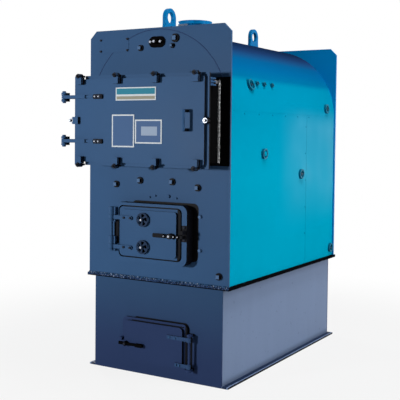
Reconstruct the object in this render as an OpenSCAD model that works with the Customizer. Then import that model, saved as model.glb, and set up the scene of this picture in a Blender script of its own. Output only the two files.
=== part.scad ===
// Packaged firebox boiler on a box base: jacketed vessel, front smokebox with a
// hinged door, cast fire door with two draft spinners, and an ash door in the base.
// Millimetres. X is to the right, Y to the back, Z up. The origin is on the floor,
// at the middle of the base's footprint.

/* [Vessel] */
// Width over the front and rear sheets
sheet_w = 914; // [860:2:980]
// Height of the front and rear sheets
sheet_h = 1374; // [1340:2:1420]
// Length over the front and rear sheets
vessel_l = 1462; // [1400:2:1700]
// Plate thickness of the front and rear sheets
sheet_t = 12; // [8:1:20]
// Cut-off at the top corners of the front and rear sheets
corner_cut = 42; // [20:1:60]
// How far the jacket's sides and crown stand inside the sheets
jacket_in = 10; // [4:1:30]
// Thickness of the jacket with its insulation
jacket_t = 30; // [20:1:40]
// How far the arched tube sheet stands inside the sheets
arch_in = 15; // [8:1:30]

/* [Base] */
// Height of the base under the vessel
base_h = 537; // [480:1:600]
// How far the base panels stand inside the sheets
base_inset = 39; // [20:1:60]
// Plate thickness of the base panels
base_t = 8; // [5:1:12]
// Thickness of the ring between base and vessel
ring_t = 16; // [12:1:20]
// Height of the ash door's middle over the floor
ash_z = 191; // [170:1:240]

/* [Smokebox] */
// Depth of the smokebox casing in front of the tube sheet
box_d = 160; // [140:1:200]
// How far the smokebox casing stands inside the sheets
box_in = 65; // [60:1:90]
// Plate thickness of the smokebox casing
box_t = 8; // [5:1:10]
// Thickness of the smokebox flange
flange_t = 12; // [8:1:16]
// Thickness of the smokebox door plate
door_t = 12; // [8:1:16]
// Gap between a closed door and the face it closes on
door_gap = 5; // [5:0.5:8]

/* [Fire door] */
// Height of the fire door's middle over the base
fire_up = 258; // [250:1:290]
// How far the fire door's frame stands out of the front sheet
frame_d = 48; // [40:1:70]
// How far the frame's rim stands out around the door
rim_d = 14; // [8:1:20]
// Radius of a draft spinner
spin_r = 38; // [30:1:42]

/* [Fire tubes] */
// Outside diameter of a fire tube
tube_d = 76; // [60:1:80]
// Wall of a fire tube
tube_wall = 4; // [3:0.5:5]
// Spacing of the tube columns
tube_px = 100; // [92:1:104]
// Spacing of the tube rows
tube_pz = 92; // [88:1:96]

/* [Connections] */
// Outside diameter of the supply flange
supply_od = 200; // [190:1:230]
// Bolt circle of the supply flange
supply_pcd = 160; // [150:1:180]
// Bolt hole diameter of the supply flange
supply_hole = 18; // [16:1:20]
// Bore of the supply nozzle
supply_bore = 80; // [70:1:90]
// Diameter of the hole in a lifting lug
lug_hole = 62; // [50:1:70]
// Thickness of a lifting lug
lug_t = 20; // [16:1:25]
// Width of the rim around the hole in a lifting lug
lug_rim = 22; // [18:1:40]
// Height of a lifting lug's hole over the crown
lug_up = 68; // [60:1:90]
// Outside diameter of the flue collar
flue_od = 254; // [200:1:300]

/* [Hidden] */
$fn = 64;
// Vessel and base
yf = -vessel_l / 2;
sheet_half = sheet_w / 2;
base_half = sheet_half - base_inset;
bf_y = 7;
top_z = base_h + sheet_h;
crown_r = sheet_half - jacket_in;
arch_r = sheet_half - arch_in;
arch_z = top_z - crown_r - 4;
crown_top = arch_z + crown_r;
tube_zc = arch_z - 60;
seam_z = arch_z - 284;
seam_y = vessel_l - 456;
arch_gap = 0.3;
// Firebox
fb_half = sheet_half - 87;
fb_t = 10;
fb_y = 82;
fb_top = base_h + 508;
fb_r = 1200;
fb_side_top = fb_top - fb_r + sqrt(fb_r * fb_r - fb_half * fb_half) + 3.5;
grate_n = floor((fb_half - 25) / 78);
// Smokebox: heights count from the middle of the tubes
tube_r = tube_d / 2;
box_half = sheet_half - box_in;
box_way = box_half - 16;
sd_x = box_half + 19;
fl_x = sd_x + 18;
fl_lo = tube_zc - 240;
fl_hi = tube_zc + 246;
fl_y = -box_d - flange_t;
sd_lo = tube_zc - 222;
sd_hi = tube_zc + 227;
sd_back = fl_y - door_gap;
sd_face = sd_back - door_t;
sh_x = -sd_x - 76;
sh_y = sd_face - 5;
sh_z = [tube_zc - 109, tube_zc + 132];
sh_pin = 9;
strap_end = 178 - sd_x;
clamp_out = sd_x - 42;
clamp_x = [-clamp_out, -clamp_out / 3, clamp_out / 3, clamp_out];
clamp_up = 16;
clamp_d = 30;
side_clamp_d = 18;
clamp_z = tube_zc + 3;
slot_w = 28;
grip_x = sd_x - 97;
grip_y = sd_face - 41;
grip_z = [tube_zc - 44, tube_zc + 52];
grip_r = 8;
rope_w = 9;
rear_t = 8;
tube_n = floor((box_way - tube_r) / tube_px);
// Fire door: heights count from its middle
fire_z = base_h + fire_up;
fire_way = 168;
fire_way_h = 105;
fire_rim = 236;
fire_rim_h = 161;
ff_y = -frame_d;
rim_y = ff_y - rim_d;
fd_back = ff_y - door_gap;
fd_leaf = fd_back - 10;
fd_face = fd_leaf - 12;
fh_x = -240;
fh_y = fd_face - 7;
fh_z = [fire_z - 83, fire_z + 79];
fh_pin = 8;
fire_strap = -113;
fl_pivot = [150, fire_z - 1];
spin_x = -30;
spin_z = [fire_z - 73, fire_z + 75];
// Ash door: heights count from its middle
ash_way = 172;
ash_way_h = 93;
af_y = -8;
ad_back = af_y - door_gap;
ad_face = ad_back - 12;
ah_x = 238;
ah_y = ad_face - 4;
ah_z = [ash_z - 95, ash_z + 49];
ah_pin = 7;
al_pivot = [-172, ash_z - 23];
// Fittings
pin_gap = 0.08;
lug_y = [117, vessel_l - 332];
lug_z = crown_top + lug_up;
supply_y = 390;
supply_z = crown_top + 79;
supply_t = 20;
pipe_r = supply_bore / 2 + 4.5;
hand_z = top_z - 79;
slate = [0.22, 0.35, 0.51];
teal = [0.0, 0.55, 0.70];
dark = [0.12, 0.13, 0.15];
white = [0.85, 0.85, 0.83];

// Everything is drawn from the front sheet's face and moved to the frame here.
module fr() { translate([0, yf, 0]) children(); }

// A rectangle with rounded corners in a plane.
module rr2(x0, z0, x1, z1, r) {
  if (r <= 0) {
    translate([x0, z0]) square([x1 - x0, z1 - z0]);
  } else {
    translate([x0 + r, z0]) square([x1 - x0 - 2 * r, z1 - z0]);
    translate([x0, z0 + r]) square([x1 - x0, z1 - z0 - 2 * r]);
    for (x = [x0 + r, x1 - r]) for (z = [z0 + r, z1 - r]) translate([x, z]) circle(r);
  }
}

// An upright slab between y0 and y1, drawn in the plane of the front.
module up(y0, y1) { translate([0, y1, 0]) rotate([90, 0, 0]) linear_extrude(y1 - y0) children(); }
module slab(x0, x1, z0, z1, y0, y1, r = 0) { up(y0, y1) rr2(x0, z0, x1, z1, r); }
module block(x0, x1, y0, y1, z0, z1) { translate([x0, y0, z0]) cube([x1 - x0, y1 - y0, z1 - z0]); }
// A round bar along Y from y0 to y1.
module ybar(x, z, y0, y1, r) { translate([x, y1, z]) rotate([90, 0, 0]) cylinder(r = r, h = y1 - y0); }
// An upright pin or knuckle.
module zbar(x, y, z0, z1, r) { translate([x, y, z0]) cylinder(r = r, h = z1 - z0); }

module outline2() {
  c = corner_cut;
  w = sheet_half;
  polygon([[-w, base_h], [w, base_h], [w, top_z - c], [w - c, top_z], [c - w, top_z], [-w, top_z - c]]);
}
module arch2(r) {
  translate([-r, base_h]) square([2 * r, arch_z - base_h]);
  translate([0, arch_z]) circle(r);
}
module below_seam2() { translate([-sheet_w, 0]) square([2 * sheet_w, seam_z]); }
module fire_way2(g) {
  rr2(-fire_way - g, fire_z - fire_way_h - g, fire_way + g, fire_z + fire_way_h + g, 22 + g);
}
module ash_way2() { rr2(-ash_way, ash_z - ash_way_h, ash_way, ash_z + ash_way_h, 20); }
module box2(g) { rr2(-box_half - g, tube_zc - 213 - g, box_half + g, tube_zc + 214 + g, 0); }
module tube_grid() {
  for (i = [-tube_n:tube_n]) for (j = [-1.5:1.5])
    translate([i * tube_px, 0, tube_zc + j * tube_pz]) children();
}
module tube_holes2() {
  for (i = [-tube_n:tube_n]) for (j = [-1.5:1.5])
    translate([i * tube_px, tube_zc + j * tube_pz]) circle(tube_r);
}
module crown_bore() {
  translate([0, -100, arch_z]) rotate([-90, 0, 0]) cylinder(r = crown_r, h = vessel_l + 200, $fn = 240);
}

// Base
module base_front_panel() color(slate) fr() up(bf_y, bf_y + base_t) difference() {
  rr2(-base_half, 0, base_half, base_h - ring_t, 0);
  ash_way2();
}
module base_rear_panel() color(slate) fr()
  slab(-base_half, base_half, 0, base_h - ring_t, vessel_l - base_t, vessel_l);
// The side panels stand on foot rails that reach out to the sheets' width.
module base_side_panels() color(slate) fr() for (s = [-1, 1]) {
  x = s > 0 ? base_half - base_t : -base_half;
  block(x, x + base_t, bf_y + base_t, vessel_l - base_t, 0, base_h - ring_t);
  block(s > 0 ? base_half : -sheet_half, s > 0 ? sheet_half : -base_half, bf_y, vessel_l, 0, 10);
}
module base_floor_pan() color(dark) fr()
  block(base_t - base_half, base_half - base_t, bf_y + base_t, vessel_l - base_t, 0, base_t);
module base_top_ring() color(dark) fr() difference() {
  block(-sheet_half - 7, sheet_half + 7, -9, vessel_l + 9, base_h - ring_t, base_h);
  block(-fb_half, fb_half, fb_y + 30, vessel_l - fb_y - 30, base_h - ring_t - 1, base_h + 1);
}
module grate_bars() color(dark) fr() for (i = [-grate_n:grate_n])
  block(i * 78 - 20, i * 78 + 20, fb_y + 13, vessel_l - fb_y - 18, base_h, base_h + 36);

// Ash door
module ash_door_frame() color(slate) fr() {
  up(af_y, bf_y) difference() {
    rr2(-213, ash_z - 121, 213, ash_z + 121, 26);
    ash_way2();
  }
  zbar(ah_x, ah_y, ah_z[0] - 28, ah_z[1] + 28, ah_pin);
  for (z = [ah_z[0] - 28, ah_z[1] + 16]) {
    zbar(ah_x, ah_y, z, z + 12, 13);
    block(ah_x - 10, ah_x + 10, ah_y, bf_y, z, z + 12);
  }
  block(-213, -197, ad_face - 15, af_y, ash_z - 9, ash_z + 9);
}
module ash_door_plate() color(slate) fr() {
  slab(-190, 190, ash_z - 111, ash_z + 105, ad_face, ad_back, 22);
  slab(14 - ash_way, ash_way - 14, ash_z - 81, ash_z + 81, ad_back, ad_back + 12, 14);
}
module ash_door_straps() color(slate) fr() for (z = ah_z) difference() {
  union() {
    zbar(ah_x, ah_y, z - 12, z + 12, 13);
    block(z > ash_z ? 98 : 150, ah_x, ad_face - 9, ad_face, z - 10, z + 10);
  }
  zbar(ah_x, ah_y, z - 20, z + 20, ah_pin + pin_gap);
}
module ash_door_latch() color(dark) fr() {
  p = al_pivot;
  ybar(p[0], p[1], ad_face - 22, ad_face - 0.4, 13);
  slab(p[0], -84, p[1] - 7, p[1] + 7, ad_face - 20, ad_face - 10);
  slab(-106, -56, p[1] - 10, p[1] + 10, ad_face - 22, ad_face - 10, 8);
  slab(-215, p[0], p[1] - 8, p[1] + 8, ad_face - 20, ad_face - 10);
}

// Front and rear of the vessel
module front_fire_sheet() color(slate) fr() up(0, sheet_t) difference() {
  intersection() {
    arch2(arch_r);
    below_seam2();
  }
  fire_way2(0);
}
module front_tube_sheet() color(slate) fr() up(0, sheet_t) difference() {
  arch2(arch_r);
  below_seam2();
  tube_holes2();
}
module front_casing_sheet() color(slate) fr() up(0, sheet_t) difference() {
  outline2();
  arch2(arch_r + arch_gap);
}
module rear_sheet() color(teal) fr() up(vessel_l - sheet_t, vessel_l) difference() {
  outline2();
  tube_holes2();
}
module fire_tubes() color(dark) fr() tube_grid() translate([0, vessel_l, 0]) rotate([90, 0, 0]) difference() {
  cylinder(r = tube_r, h = vessel_l + 4);
  translate([0, 0, -1]) cylinder(r = tube_r - tube_wall, h = vessel_l + 6);
}
module jacket_crown() color(teal) fr() difference() {
  up(sheet_t, vessel_l - sheet_t) difference() {
    intersection() {
      translate([0, arch_z]) circle(crown_r);
      translate([-sheet_w, arch_z]) square([2 * sheet_w, sheet_w]);
    }
    translate([0, arch_z]) circle(crown_r - jacket_t);
  }
  translate([0, supply_y, arch_z]) cylinder(r = pipe_r, h = crown_r + 100);
}
module jacket_sides() color(teal) fr() for (s = [-1, 1])
  for (q = [[sheet_t, seam_y - 1], [seam_y + 1, vessel_l - sheet_t]]) {
    x0 = s > 0 ? crown_r - jacket_t : 1 - crown_r;
    block(x0, x0 + jacket_t - 1, q[0], q[1], base_h, arch_z);
  }

// Firebox
module crown2() {
  intersection() {
    translate([0, fb_top - fb_r]) circle(fb_r, $fn = 180);
    translate([-fb_half, base_h]) square([2 * fb_half, fb_top]);
  }
}
module firebox_side_sheets() color(dark) fr() for (x = [-fb_half - fb_t, fb_half])
  block(x, x + fb_t, fb_y, vessel_l - fb_y, base_h, fb_side_top);
module firebox_crown_sheet() color(dark) fr() up(fb_y + fb_t, vessel_l - fb_y - fb_t) difference() {
  crown2();
  translate([0, fb_top - fb_r]) circle(fb_r - fb_t, $fn = 180);
}
// The front sheet carries the short passage to the fire door.
module firebox_end_sheets() color(dark) fr() {
  up(fb_y, fb_y + fb_t) difference() {
    crown2();
    fire_way2(0);
  }
  up(sheet_t, fb_y) difference() {
    fire_way2(fb_t);
    fire_way2(0);
  }
  up(vessel_l - fb_y - fb_t, vessel_l - fb_y) crown2();
}

// Fire door: the door sits inside the frame's raised rim.
module fire_door_frame() color(slate) fr() {
  up(ff_y, 0) difference() {
    rr2(-fire_rim, fire_z - fire_rim_h, fire_rim, fire_z + fire_rim_h, 38);
    fire_way2(0);
  }
  up(rim_y, ff_y) difference() {
    rr2(-fire_rim, fire_z - fire_rim_h, fire_rim, fire_z + fire_rim_h, 38);
    rr2(-206, fire_z - 139, 206, fire_z + 146, 28);
  }
  zbar(fh_x, fh_y, fh_z[0] - 24, fh_z[1] + 56, fh_pin);
  for (z = fh_z) for (q = [[z - 24, z - 14], [z + 14, z + 56]]) {
    zbar(fh_x, fh_y, q[0], q[1], 14);
    block(fh_x - 12, fh_x + 24, fh_y, rim_y + 6, q[0], q[1]);
  }
  block(212, 232, fd_face - 23, rim_y, fire_z + 12, fire_z + 32);
}
module fire_door_plate() color(slate) fr() {
  slab(-199, 199, fire_z - 132, fire_z + 139, fd_leaf, fd_back, 24);
  slab(-178, 178, fire_z - 120, fire_z + 125, fd_face, fd_leaf, 15);
}
module fire_door_liner() color(dark) fr() slab(-152, 152, fire_z - 91, fire_z + 91, fd_back, -16, 14);
module fire_door_straps() color(slate) fr() for (z = fh_z) difference() {
  union() {
    zbar(fh_x, fh_y, z - 12, z + 12, 14);
    slab(fh_x, fire_strap, z - 11, z + 11, fd_face - 9, fd_face);
    ybar(fire_strap, z, fd_face - 9, fd_face, 11);
  }
  zbar(fh_x, fh_y, z - 30, z + 30, fh_pin + pin_gap);
}
module fire_door_latch() color(slate) fr() {
  p = fl_pivot;
  ybar(p[0], p[1], fd_face - 26, fd_face - 0.4, 15);
  slab(112, 229, p[1] - 8, p[1] + 8, fd_face - 24, fd_face - 14);
  slab(44, 124, p[1] - 11, p[1] + 11, fd_face - 24, fd_face - 16, 6);
}
// A spinner: a wheel with five skewed windows on a threaded hub.
module spinner(z) {
  ybar(spin_x, z, fd_face - 24, fd_face - 0.4, 10);
  translate([spin_x, 0, z]) {
    up(fd_face - 15, fd_face - 8) difference() {
      circle(spin_r);
      for (a = [0:72:359]) rotate(a) intersection() {
        difference() {
          circle(spin_r - 7);
          circle(13);
        }
        polygon([[0, 5], [60, -20], [60, 26]]);
      }
    }
  }
}
module draft_spinner_lower() color(dark) fr() spinner(spin_z[0]);
module draft_spinner_upper() color(dark) fr() spinner(spin_z[1]);

// Smokebox
module smokebox_casing() color(dark) fr() up(-box_d, 0) difference() {
  box2(0);
  box2(-box_t);
}
// The flange has a slot at its edge for the stud of each clamp.
module smokebox_flange() color(slate) fr() up(fl_y, -box_d) difference() {
  w = slot_w / 2;
  rr2(-fl_x, fl_lo, fl_x, fl_hi, 0);
  rr2(-box_way, tube_zc - 197, box_way, tube_zc + 198, 0);
  for (x = clamp_x) {
    rr2(x - w, sd_hi - 2, x + w, fl_hi + 1, 0);
    rr2(x - w, fl_lo - 1, x + w, sd_lo + 2, 0);
  }
  for (s = [-1, 1]) translate([s * (sd_x + 24), clamp_z]) square([64, slot_w], center = true);
}
module smokebox_rear_frame() color(dark) fr() up(-rear_t, 0) difference() {
  rr2(1 - sheet_half, tube_zc - 230, sheet_half - 1, tube_zc + 231, 0);
  box2(0);
}
module smokebox_seal() color(white) fr() up(-rear_t - 10, -rear_t) difference() {
  box2(rope_w);
  box2(0);
}
module smokebox_hinge_brackets() color(slate) fr() for (z = sh_z) {
  zbar(sh_x, sh_y, z - 24, z + 24, sh_pin);
  for (a = [z - 24, z + 14]) {
    zbar(sh_x, sh_y, a, a + 10, 16);
    block(sh_x - 12, sh_x + 12, sh_y, -box_d, a, a + 10);
  }
  block(sh_x - 12, sh_x + 12, sh_y + 18, -box_d, z - 24, z + 24);
  block(sh_x + 12, -fl_x, sh_y + 18, -box_d, z - 10, z + 10);
}
module smokebox_door_plate() color(slate) fr() slab(-sd_x, sd_x, sd_lo, sd_hi, sd_face, sd_back, 8);
module smokebox_door_lining() color(white) fr()
  slab(10 - box_way, box_way - 10, tube_zc - 187, tube_zc + 188, sd_back, 30 - box_d, 10);
module smokebox_door_straps() color(slate) fr() for (z = sh_z) difference() {
  union() {
    zbar(sh_x, sh_y, z - 13, z + 13, 15);
    slab(sh_x, 78 - sd_x, z - 9, z + 9, sd_face - 18, sd_face);
    slab(sh_x, strap_end, z - 6, z + 6, sd_face - 10, sd_face);
    slab(130 - sd_x, strap_end + 11, z - 13, z + 13, sd_face - 10, sd_face, 6);
  }
  zbar(sh_x, sh_y, z - 30, z + 30, sh_pin + pin_gap);
}
module smokebox_door_handle() color(slate) fr() {
  for (z = grip_z) {
    ybar(grip_x, z, grip_y, sd_face, grip_r);
    translate([grip_x, grip_y, z]) sphere(grip_r);
  }
  zbar(grip_x, grip_y, grip_z[0], grip_z[1], grip_r);
}
// One clamp: a dog on the door's edge, and a boss with a stud through the flange's slot.
module clamp(d) {
  slab(-20, 20, -30, clamp_up - 8, sd_face - d, sd_face, 3);
  ybar(0, clamp_up, sd_face - d - 2, sd_face, 13);
  ybar(0, clamp_up, sd_face - d - 14, 8 + fl_y, 6);
}
module smokebox_door_clamps() color(slate) fr() {
  for (x = clamp_x) {
    translate([x, 0, sd_hi]) clamp(clamp_d);
    translate([x, 0, sd_lo]) rotate([0, 180, 0]) clamp(clamp_d);
  }
  translate([sd_x, 0, clamp_z]) rotate([0, 90, 0]) clamp(side_clamp_d);
  translate([-sd_x, 0, clamp_z]) rotate([0, -90, 0]) clamp(side_clamp_d);
}
module door_plates() color(white) fr() {
  slab(-136, 121, tube_zc + 109, tube_zc + 178, sd_face - 2, sd_face);
  slab(-160, -15, tube_zc - 138, tube_zc + 35, sd_face - 2, sd_face);
  slab(-9, 159, tube_zc - 117, tube_zc + 8, sd_face - 2, sd_face);
}

// Fittings
module lug2() {
  r = lug_hole / 2 + lug_rim;
  translate([0, lug_z]) circle(r);
  polygon([[-r - 8, crown_top - 17], [r + 8, crown_top - 17], [r, crown_top + 28],
           [r, lug_z], [-r, lug_z], [-r, crown_top + 28]]);
}
module lifting_lugs() color(teal) fr() for (y = lug_y) difference() {
  translate([-lug_t / 2, y, 0]) rotate([90, 0, 90]) linear_extrude(lug_t) lug2();
  crown_bore();
  translate([-50, y, lug_z]) rotate([0, 90, 0]) cylinder(r = lug_hole / 2, h = 100);
}
module supply_nozzle() color(teal) fr() translate([0, supply_y, crown_top - 47]) difference() {
  cylinder(r = pipe_r, h = supply_z - crown_top + 47);
  translate([0, 0, -1]) cylinder(r = supply_bore / 2, h = supply_z - crown_top + 49);
}
module supply_flange() color(teal) fr() translate([0, supply_y, supply_z - supply_t]) difference() {
  cylinder(r = supply_od / 2, h = supply_t);
  translate([0, 0, -1]) cylinder(r = pipe_r + pin_gap, h = supply_t + 2);
  for (a = [22.5:45:359]) rotate([0, 0, a]) translate([supply_pcd / 2, 0, -1])
    cylinder(r = supply_hole / 2, h = supply_t + 2);
}
module handhole_cover() color(dark) fr() {
  slab(-51, 51, hand_z - 30, hand_z + 30, -8, 0, 29.9);
  slab(-44, 44, hand_z - 8, hand_z + 8, -20, -8, 6);
  ybar(0, hand_z, -34, -20, 13);
}
// A threaded plug with a square head.
module plug(x, z, r) {
  ybar(x, z, -9, 0, r);
  slab(x - r / 2, x + r / 2, z - r / 2, z + r / 2, -22, -9);
}
module front_plugs() color(slate) fr() {
  for (x = [-266, 266]) plug(x, seam_z - 125, 19);
  for (x = [-105, 105]) plug(x, seam_z - 99, 19);
  plug(sheet_half - 57, base_h + 54, 19);
  plug(-108, top_z - 108, 17);
  plug(117, top_z - 63, 23);
  plug(99, top_z - 103, 13);
}
// A tapping standing h out of the jacket and rooted at zero.
module tapping(h, r) {
  difference() {
    cylinder(r = r, h = h);
    translate([0, 0, h - 8]) cylinder(r = r * 0.7, h = 20);
  }
}
module side_tappings() color(teal) fr() for (s = [-1, 1]) {
  for (p = [[411, arch_z - 231], [vessel_l - 542, arch_z - 362], [vessel_l - 52, base_h + 53]])
    translate([s * (crown_r - 1), p[0], p[1]]) rotate([0, s * 90, 0]) tapping(14, 30);
  difference() {
    for (p = [[vessel_l - 150, 6, 30], [280, 19, 33], [363, 20.5, 13], [449, 20.5, 13], [550, 20.5, 13]])
      translate([0, p[0], arch_z]) rotate([0, s * (90 - p[1]), 0]) translate([0, 0, crown_r - 12])
        tapping(26, p[2]);
    crown_bore();
  }
}
module data_plate() color(slate) fr() slab(68 - sheet_half, -190, top_z - 123, top_z - 45, -2, 0, 4);

// Rear
module flue_box() color(teal) fr() difference() {
  slab(-fb_half, fb_half, tube_zc - 204, tube_zc + 204, vessel_l, vessel_l + 160, 6);
  slab(8 - fb_half, fb_half - 8, tube_zc - 196, tube_zc + 196, vessel_l - 1, vessel_l + 152);
  ybar(0, tube_zc, vessel_l + 100, vessel_l + 300, flue_od / 2 - 9);
}
module flue_collar() color(teal) fr() difference() {
  ybar(0, tube_zc, vessel_l + 160, vessel_l + 260, flue_od / 2);
  ybar(0, tube_zc, vessel_l + 100, vessel_l + 300, flue_od / 2 - 6);
}
module return_coupling() color(dark) fr() difference() {
  ybar(0, base_h + 113, vessel_l, vessel_l + 50, 48);
  ybar(0, base_h + 113, vessel_l + 8, vessel_l + 60, 38);
}

base_front_panel();
base_rear_panel();
base_side_panels();
base_floor_pan();
base_top_ring();
grate_bars();
ash_door_frame();
ash_door_plate();
ash_door_straps();
ash_door_latch();
front_fire_sheet();
front_tube_sheet();
front_casing_sheet();
rear_sheet();
fire_tubes();
jacket_crown();
jacket_sides();
firebox_side_sheets();
firebox_crown_sheet();
firebox_end_sheets();
fire_door_frame();
fire_door_plate();
fire_door_liner();
fire_door_straps();
fire_door_latch();
draft_spinner_lower();
draft_spinner_upper();
smokebox_casing();
smokebox_flange();
smokebox_rear_frame();
smokebox_seal();
smokebox_hinge_brackets();
smokebox_door_plate();
smokebox_door_lining();
smokebox_door_straps();
smokebox_door_handle();
smokebox_door_clamps();
door_plates();
lifting_lugs();
supply_nozzle();
supply_flange();
handhole_cover();
front_plugs();
side_tappings();
data_plate();
flue_box();
flue_collar();
return_coupling();
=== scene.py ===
"""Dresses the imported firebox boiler: paint, soot, rope, fasteners, welds, light and camera."""

import math

import bmesh
import bpy
from mathutils import Matrix, Vector


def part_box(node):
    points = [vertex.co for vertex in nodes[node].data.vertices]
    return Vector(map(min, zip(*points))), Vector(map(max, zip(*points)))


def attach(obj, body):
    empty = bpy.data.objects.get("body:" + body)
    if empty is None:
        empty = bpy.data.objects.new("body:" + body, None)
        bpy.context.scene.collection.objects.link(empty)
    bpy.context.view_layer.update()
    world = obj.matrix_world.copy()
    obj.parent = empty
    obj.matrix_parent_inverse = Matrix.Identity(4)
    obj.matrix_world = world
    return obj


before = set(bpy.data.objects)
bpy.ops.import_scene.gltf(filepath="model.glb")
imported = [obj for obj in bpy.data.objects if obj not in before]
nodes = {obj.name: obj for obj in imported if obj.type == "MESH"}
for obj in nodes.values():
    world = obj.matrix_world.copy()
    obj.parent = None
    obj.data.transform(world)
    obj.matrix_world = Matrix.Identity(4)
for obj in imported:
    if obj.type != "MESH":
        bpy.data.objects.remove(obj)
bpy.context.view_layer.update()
scene = bpy.context.scene
scene.view_settings.view_transform = "Standard"

# The photograph's camera. The picture's side, the focal length and the row of the lens axis are in pixels.
PHOTO_SIDE = 400.0
FOCAL_LENGTH = 825.0
LENS_AXIS_ROW = 165.0
SENSOR_MM = 36.0
CAMERA_AT = Vector((2.509, -4.468, 1.335))
CAMERA_YAW = math.radians(30.85)
CAMERA_PITCH = math.radians(2.14)
CAMERA_ROLL = math.radians(0.59)

# Directions in the part's frame. The doors face ahead.
AHEAD = Vector((0.0, -1.0, 0.0))
RIGHT = Vector((1.0, 0.0, 0.0))
UP = Vector((0.0, 0.0, 1.0))

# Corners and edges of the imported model, in metres.
CROWN_LOW, CROWN_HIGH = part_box("jacket_crown")
RING_LOW, RING_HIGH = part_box("base_top_ring")
BOX_LOW, BOX_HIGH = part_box("smokebox_casing")
DOOR_LOW, DOOR_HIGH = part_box("smokebox_door_plate")
FIRE_FRAME_LOW, FIRE_FRAME_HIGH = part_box("fire_door_frame")
CROWN_R = CROWN_HIGH.z - CROWN_LOW.z
JACKET_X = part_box("jacket_sides")[1].x
SHEET_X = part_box("front_casing_sheet")[1].x
PANEL_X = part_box("base_front_panel")[1].x
RAIL_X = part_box("base_side_panels")[1].x

# Depths in Y on the front, of faces and of the hinge's and grip's axes. They are smaller further ahead.
SHEET_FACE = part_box("front_fire_sheet")[0].y
PLUG_FACE = SHEET_FACE - 0.0215
FLANGE_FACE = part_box("smokebox_flange")[0].y
DOOR_FACE = DOOR_LOW.y
DOOR_HINGE_AXIS = DOOR_FACE - 0.005
DOOR_STRAP_FACE = DOOR_FACE - 0.010
DOOR_KNUCKLE_FACE = DOOR_FACE - 0.018
CLAMP_FACES = (DOOR_FACE - 0.018, DOOR_FACE - 0.030)
SIDE_STUD_FACE = DOOR_FACE - 0.0185
GRIP_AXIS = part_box("smokebox_door_handle")[0].y + 0.008
FIRE_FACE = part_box("fire_door_plate")[0].y
FIRE_STEP_FACE = FIRE_FACE + 0.012
FIRE_RIM_FACE = FIRE_FACE + 0.013
FIRE_STRAP_FACE = FIRE_FACE - 0.009
SPINNER_FACE = FIRE_FACE - 0.008
ASH_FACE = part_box("ash_door_plate")[0].y
ASH_FRAME_FACE = ASH_FACE + 0.017
ASH_STRAP_FACE = ASH_FACE - 0.009

# Depths ahead of and behind every piece on the front.
AHEAD_OF_ALL = SHEET_FACE - 1.0
BEHIND_ALL = SHEET_FACE + 1.0

# Half the depth of the band that counts as one face.
EDGE = 0.0012

# The clamps' studs stand this far outside the smokebox door, and only side clamps lie past SIDE_CLAMP_X.
CLAMP_OUT = 0.016
SIDE_CLAMP_X = DOOR_HIGH.x - 0.006

# A fastener's head: its sides, and the radius of its top as a share of that of its foot.
SQUARE = 4
HEX = 6
HEAD_TAPER = 0.84

# A weld bead: its rings, the sides of a ring, the ripple as a share of its radius, and the ripple's scale.
BEAD_RINGS = 90
BEAD_SIDES = 8
BEAD_RIPPLE = 0.8
BEAD_LUMPS = 120.0


def around(node, left, right, foot, top):
    """A rectangle x0, x1, z0, z1 on the front, each side measured from the same side of a node."""
    low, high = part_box(node)
    return (low.x + left, high.x + right, low.z + foot, high.z + top)


def srgb(red, green, blue):
    """A colour as a screen shows it, 0 to 255, as the linear values that Blender works in."""

    def linear(part):
        part = part / 255.0
        return part / 12.92 if part <= 0.04045 else ((part + 0.055) / 1.055) ** 2.4

    return (linear(red), linear(green), linear(blue), 1.0)


def grey(level):
    """A neutral colour in linear values."""
    return (level, level, level, 1.0)


def shade(colour, factor):
    """The same colour, lighter or darker."""
    return tuple(min(1.0, part * factor) for part in colour[:3]) + (1.0,)


SLATE = srgb(52, 84, 122)
SLATE_BASE = srgb(44, 64, 100)
SLATE_ASH = srgb(41, 57, 93)
SLATE_DARK = srgb(34, 52, 78)
# A paler slate for painted highlights.
SLATE_HIGHLIGHT = srgb(78, 108, 146)
# Blacks of painted shadow and shade.
SHADOW_BLACK = srgb(12, 12, 14)
EDGE_SHADE_BLACK = srgb(16, 17, 22)
CLAMP_SHADE_BLACK = srgb(12, 13, 17)
RAIL_SHADE_BLACK = srgb(12, 14, 22)
BARE_STEEL = srgb(150, 155, 164)
WORN_FLECK = srgb(166, 180, 202)
WHITE = grey(1.0)


class Value:
    """One shader socket that takes part in Python arithmetic."""

    def __init__(self, owner, socket):
        self.owner = owner
        self.socket = socket

    def output(self, name):
        """Another output of the same node."""
        return Value(self.owner, self.socket.node.outputs[name])

    def __add__(self, other):
        return self.owner.calc("ADD", self, other)

    __radd__ = __add__

    def __sub__(self, other):
        return self.owner.calc("SUBTRACT", self, other)

    def __rsub__(self, other):
        return self.owner.calc("SUBTRACT", other, self)

    def __mul__(self, other):
        return self.owner.calc("MULTIPLY", self, other)

    __rmul__ = __mul__

    def __abs__(self):
        return self.owner.calc("ABSOLUTE", self)

    def __gt__(self, other):
        return self.owner.calc("GREATER_THAN", self, other)

    def __lt__(self, other):
        return self.owner.calc("LESS_THAN", self, other)


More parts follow.
